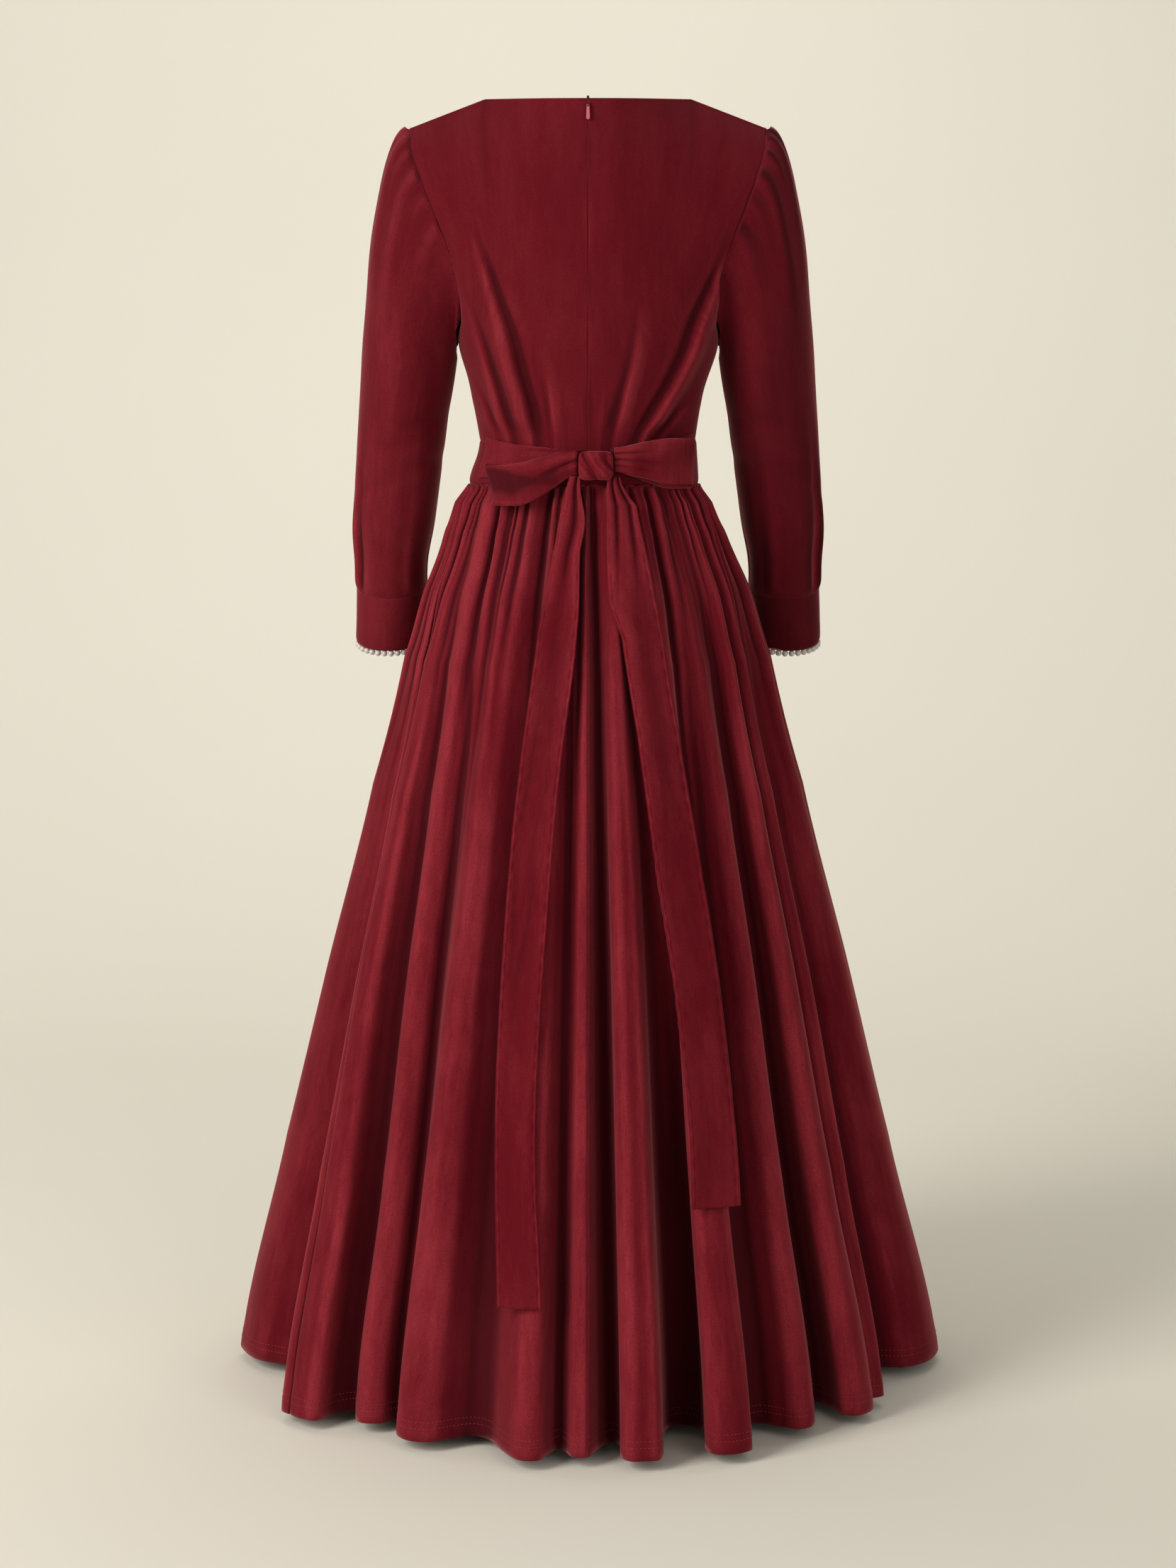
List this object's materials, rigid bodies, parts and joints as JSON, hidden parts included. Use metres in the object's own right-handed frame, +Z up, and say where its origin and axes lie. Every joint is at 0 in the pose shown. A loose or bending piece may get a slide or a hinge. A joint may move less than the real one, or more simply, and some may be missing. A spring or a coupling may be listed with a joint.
{
  "type": "maxi dress",
  "caption": "Floor-length red velvet dress with long sleeves, pearl-edged cuffs, a back zip, a sash tied in a bow behind and a full gathered skirt.",
  "frame": {"origin": "between the shoulders at the height of the back neck edge, where the wearer's shoulders hold the dress up", "axes": "+Z up; the back of the dress, with its zip and bow, faces -Y; +X is the wearer's right"},
  "size_m": [0.7669, 0.7097, 1.3439],
  "materials": {
    "velvet": "matte pile with a soft sheen",
    "pearl_tape": "matte",
    "pearl": "pearly gloss",
    "zip_tape": "matte",
    "zip_metal": "satin",
    "zip_pull": "gloss"
  },
  "bodies": {
    "dress": {"bodice_back_left": "velvet", "bodice_back_right": "velvet", "bodice_front": "velvet", "sleeve_left": "velvet", "sleeve_right": "velvet", "cuff_left": "velvet", "cuff_right": "velvet", "pearl_tape_left": "pearl_tape", "pearl_tape_right": "pearl_tape", "pearl_trim_left": "pearl", "pearl_trim_right": "pearl", "waistband_back_left": "velvet", "waistband_back_right": "velvet", "waistband_front": "velvet", "skirt_back_left": "velvet", "skirt_back_right": "velvet", "skirt_front": "velvet", "sash_strap_left": "velvet", "sash_strap_right": "velvet", "bow_loop_left": "velvet", "bow_loop_right": "velvet", "bow_knot": "velvet", "bow_tail_left": "velvet", "bow_tail_right": "velvet", "zip_tape": "zip_tape", "zip_top_stop": "zip_metal", "zip_slider": "zip_metal"},
    "zip_pull": {"zip_pull": "zip_pull"}
  },
  "joints": [
    {"name": "zip_pull_swing", "type": "hinge", "parent": "dress", "child": "zip_pull", "pos_m": [0, -0.07683, -0.00675], "axis": [-1, 0, 0], "range_deg": [0, 150]}
  ]
}
